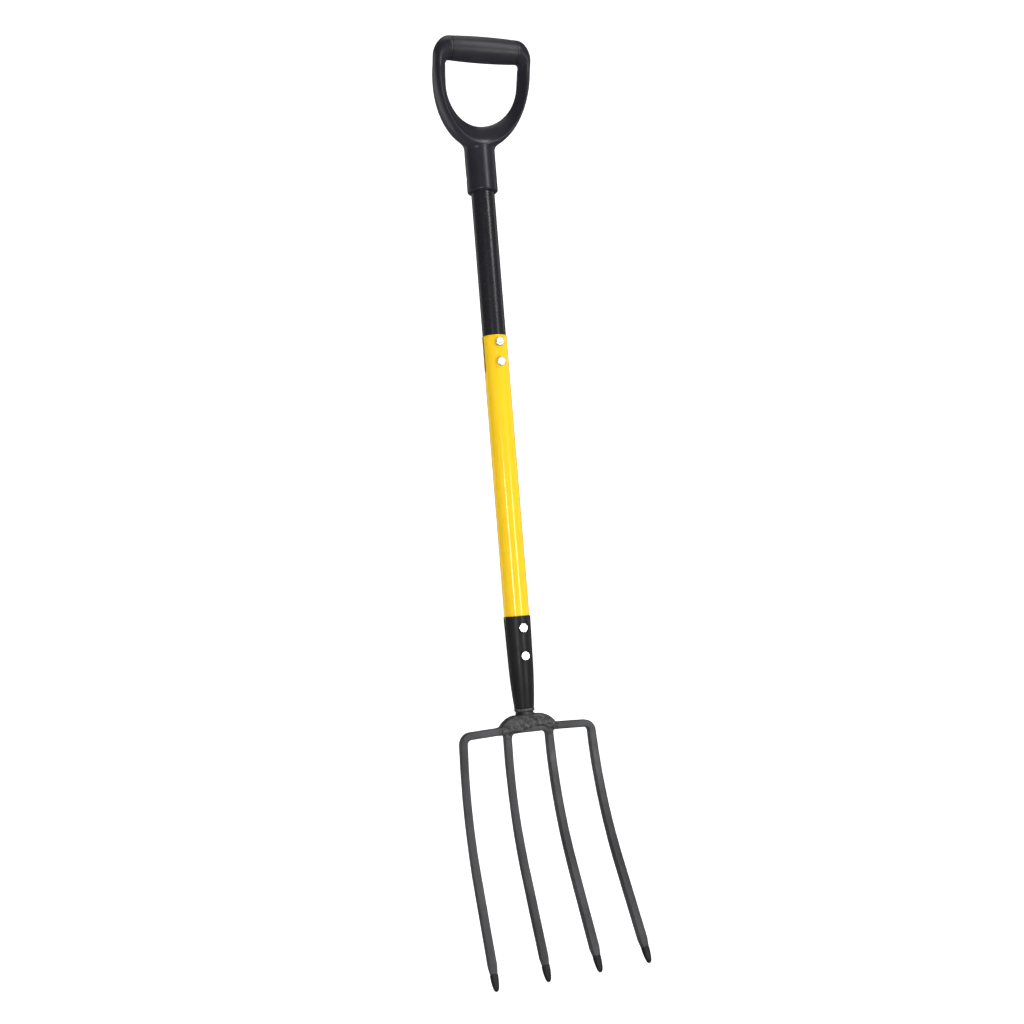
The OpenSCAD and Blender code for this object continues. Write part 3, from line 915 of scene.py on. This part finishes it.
HUB_R = 18.6
BORE_R = 14.45
HUB_ROUND = 2.2
hub_profile = [(BORE_R, HUB_Z + 8), (BORE_R, HUB_Z + 0.6), (BORE_R + 0.6, HUB_Z),
               (HUB_R - HUB_ROUND, HUB_Z)]
hub_profile += [(HUB_R - HUB_ROUND * (1 - math.sin(a)), HUB_Z + HUB_ROUND * (1 - math.cos(a)))
                for a in (math.pi / 2 * i / 6 for i in range(1, 7))]
hub_profile += [(HUB_R, HUB_Z + HUB_ROUND + (DATUM_Z - 4 - HUB_Z) * i / 60)
                for i in range(1, 61)]
hub_profile += [(HUB_R - 6, DATUM_Z), (0.01, DATUM_Z), (0.01, HUB_Z + 8)]
hub = lathe("d_hub", hub_profile, steps=144)
SHEAR_FROM = HUB_Z + 30
for v in hub.data.vertices:
    # the hub's top slants with the D, so that it stays inside the rim all round
    share = max(0.0, (v.co.z / MM - SHEAR_FROM) / (DATUM_Z - 4 - SHEAR_FROM))
    v.co.z += min(1.0, share) * (v.co.y * math.tan(CANT) + 3 * MM)
to_d = in_d.inverted()
KEEP_FRONT = 0.8
KEEP_BACK = -3.0


def on_inner_side(p):
    """Whether a point is on the side that faces the hand, with the front ridge."""
    q = to_d @ p
    angle = math.atan2(q.z - RAY_H, q.x)
    if angle > 0:
        return False
    ridge = ellipse_ray(angle, RIDGE_H, RIDGE_HALF, RIDGE_H - RIDGE_LOW)
    margin = KEEP_FRONT if q.y < 0 else KEEP_BACK
    return math.hypot(q.x, q.z - RAY_H) < ridge + margin


def fillet_reach(p):
    """Wide fillets under the arms and at the back of the hub, a narrow one at its front."""
    sideways = min(1.0, max(0.0, (abs(p.x) - 6) / 8))
    behind = min(1.0, max(0.0, p.y / 6))
    return 2.2 + 3.2 * max(sideways, behind)


fuse([rim, hub], fillet_reach, on_inner_side)

SCREW_Z = HUB_Z + 20
SCREW_TURN = math.radians(180 - 18)
screw_place = (Matrix.Translation((0, 0, SCREW_Z)) @ Matrix.Rotation(SCREW_TURN, 4, "Z")
               @ Matrix.Translation((HUB_R, 0, 0)) @ Matrix.Rotation(math.pi / 2, 4, "Y"))
recess = lathe("recess_tool", [(0.01, -3.4), (4.1, -3.4), (4.4, -3.1), (4.4, -0.4), (5.0, 0.4),
                               (5.0, 3), (0.01, 3)], screw_place, steps=64)
cut_with(hub, recess)
handle = merge("d_handle_moulding", [rim, hub])
dress(handle, plastic, "handle_frame", "handle_frame")

screw_profile = [(0.01, -8), (1.9, -8), (1.9, -3.4), (3.7, -3.4), (3.8, -3.0), (3.6, -2.3),
                 (2.9, -1.9), (1.6, -1.7), (0.01, -1.65)]
screw = lathe("handle_pan_screw", screw_profile, screw_place, steps=64)
slot_tool = make_object("slot_tool", [screw_place @ Vector(v) for v in (
    (-2, -0.35, -2.6), (2, -0.35, -2.6), (2, 0.35, -2.6), (-2, 0.35, -2.6),
    (-2, -0.35, 1), (2, -0.35, 1), (2, 0.35, 1), (-2, 0.35, 1))],
    [(3, 2, 1, 0), (4, 5, 6, 7), (0, 1, 5, 4), (1, 2, 6, 5), (2, 3, 7, 6), (3, 0, 4, 7)])
cut_with(screw, slot_tool)
dress(screw, zinc, "zinc_fasteners", "handle_screw")

grip_place = in_d @ Matrix.Translation((0, 0, GRIP_H)) @ Matrix.Rotation(math.pi / 2, 4, "Y")
GRIP_R = 14.3
GRIP_SWELL = 1.1
GROOVE = 0.7
grip_outer = []
for i in range(61):
    t = -1 + 2 * i / 60
    grip_outer.append((GRIP_R + GRIP_SWELL * (1 - t * t), 40.6 * t))
end_collar = [(GRIP_R - GROOVE, 40.8), (GRIP_R - GROOVE, 41.5), (GRIP_R, 41.7), (GRIP_R, 43.6),
              (GRIP_R - 0.3, 43.9), (8.1, 43.9)]
grip_profile = [(r, -z) for r, z in reversed(end_collar)] + grip_outer + end_collar
grip = lathe("grip_sleeve_tube", grip_profile, grip_place, steps=144)
dress(grip, sleeve_plastic, "grip_sleeve", "grip_sleeve")


# ---------------------------------------------------------------- camera, light and stage

low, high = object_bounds()
AZIMUTH = math.radians(21.09)
ELEVATION = math.radians(-3.90)
ROLL = math.radians(-4.607)
DISTANCE = 1.62712
aim = Vector((0.00458, 0, low.z + 0.52622))
sight = Vector((math.sin(AZIMUTH) * math.cos(ELEVATION),
                math.cos(AZIMUTH) * math.cos(ELEVATION), -math.sin(ELEVATION)))
level_right = Vector((math.cos(AZIMUTH), -math.sin(AZIMUTH), 0))
level_up = level_right.cross(sight)
right = level_right * math.cos(ROLL) + level_up * math.sin(ROLL)
up = level_up * math.cos(ROLL) - level_right * math.sin(ROLL)
camera_data = bpy.data.cameras.new("camera")
camera_data.lens = 47.81
camera_data.sensor_width = 36
camera = bpy.data.objects.new("camera", camera_data)
bpy.context.scene.collection.objects.link(camera)
camera.matrix_world = Matrix((
    (right.x, up.x, -sight.x, 0), (right.y, up.y, -sight.y, 0),
    (right.z, up.z, -sight.z, 0), (0, 0, 0, 1)))
camera.location = aim - sight * DISTANCE
bpy.context.scene.camera = camera


def area_light(name, at, look_at, width, height, power):
    data = bpy.data.lights.new(name, "AREA")
    data.shape = "RECTANGLE"
    data.size = width
    data.size_y = height
    data.energy = power
    light = bpy.data.objects.new(name, data)
    bpy.context.scene.collection.objects.link(light)
    light.location = at
    light.rotation_euler = (look_at - at).to_track_quat("-Z", "Y").to_euler()


middle = (low + high) / 2
back_dir = -sight


def around(angle, distance, height):
    """A place at an angle to the camera's side of the object, in degrees to its right."""
    a = math.radians(angle)
    flat = Vector((back_dir.x, back_dir.y, 0)).normalized()
    side = Vector((level_right.x, level_right.y, 0))
    return (middle + (flat * math.cos(a) + side * math.sin(a)) * distance
            + Vector((0, 0, height)))


area_light("key_softbox", around(46, 2.4, 1.75), middle + Vector((0, 0, 0.4)), 0.40, 1.9, 26)
area_light("key_strip", around(47, 2.4, -0.21), middle, 0.32, 0.85, 14)
area_light("fill_strip", around(-10, 2.4, -0.17), middle, 0.14, 0.85, 15)
area_light("overhead", middle + Vector((0, 0, 2.3)), middle, 1.6, 1.6, 8)
area_light("left_soft", around(-125, 2.2, 0.4), middle, 1.0, 2.0, 4)
area_light("right_soft", around(118, 2.2, 0.2), middle, 0.9, 2.0, 3.6)

world = bpy.data.worlds.new("studio")
world.use_nodes = True
world.node_tree.nodes["Background"].inputs["Color"].default_value = (1, 1, 1, 1)
world.node_tree.nodes["Background"].inputs["Strength"].default_value = 0.10
bpy.context.scene.world = world
bpy.context.scene.view_settings.view_transform = "Standard"

floor_profile = [(-6.0, 0.0), (3.0, 0.0)]
floor_profile += [(3.0 + 1.5 * math.sin(a), 1.5 - 1.5 * math.cos(a))
                  for a in (math.pi / 2 * i / 12 for i in range(1, 13))]
floor_profile += [(4.5, 7.0)]
floor_along = Vector((sight.x, sight.y, 0)).normalized()
floor_verts = []
for along, rise in floor_profile:
    for across_side in (-8, 8):
        p = floor_along * along + level_right * across_side
        floor_verts.append((p.x / MM, p.y / MM, (low.z + rise) / MM))
floor_faces = [(2 * i, 2 * i + 1, 2 * i + 3, 2 * i + 2) for i in range(len(floor_profile) - 1)]
floor = make_object("seamless_floor", floor_verts, floor_faces)
floor_mat = coat("pale_floor", (0.93, 0.93, 0.93), (0.96, 0.96, 0.96), (0.6, 0.7),
                 [(40, 0.05, 2)], specular=0.1)
floor_shader = floor_mat.node_tree.nodes["Principled BSDF"]
floor_shader.inputs["Emission Color"].default_value = (1, 1, 1, 1)
floor_shader.inputs["Emission Strength"].default_value = 0.8
floor.data.materials.append(floor_mat)
floor.visible_glossy = False
